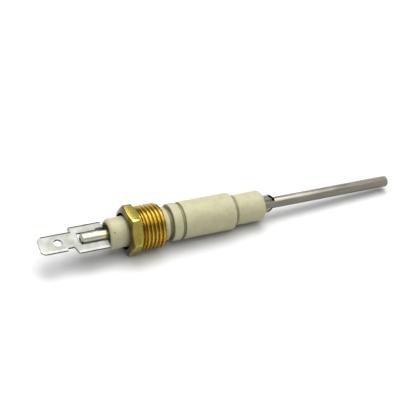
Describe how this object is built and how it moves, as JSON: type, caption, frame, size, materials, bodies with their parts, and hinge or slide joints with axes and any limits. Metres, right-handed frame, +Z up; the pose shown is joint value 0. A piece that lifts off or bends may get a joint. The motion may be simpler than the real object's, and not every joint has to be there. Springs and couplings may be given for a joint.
{
  "type": "flame sensor probe",
  "caption": "Flame sensor probe: a metal sensing rod in a cream ceramic insulator, with a brass gland nut that screws into the burner and a push-on tab for the lead.",
  "frame": {"origin": "on the probe's axis, in the plane where the gland nut's hexagon meets its thread", "axes": "+X along the probe towards the sensing rod's tip, +Z up with one flat of the hexagon facing down"},
  "size_m": [0.119, 0.0162, 0.014],
  "materials": {
    "rod_steel": "drawn heat-resisting alloy, warm grey",
    "ceramic": "matt cream fired ceramic",
    "brass": "machined yellow brass",
    "washer_metal": "soft matt aluminium",
    "tab_steel": "stamped, nickel-plated",
    "weld": "heat-tinted weld",
    "cement": "rough refractory cement"
  },
  "bodies": {
    "electrode": {"insulator": "ceramic", "sensing_rod": "rod_steel", "terminal_blade": "tab_steel", "weld_bead": "weld", "rear_cement": "cement", "front_cement": "cement"},
    "washer": {"sealing_washer": "washer_metal"},
    "nut": {"gland_nut": "brass"}
  },
  "joints": [
    {"name": "gland_slide", "type": "slide", "parent": "electrode", "child": "washer", "axis": [-1, 0, 0], "range_m": [0, 0.016]},
    {"name": "gland_turn", "type": "hinge", "parent": "washer", "child": "nut", "pos_m": [0, 0, 0], "axis": [1, 0, 0], "continuous": true}
  ]
}
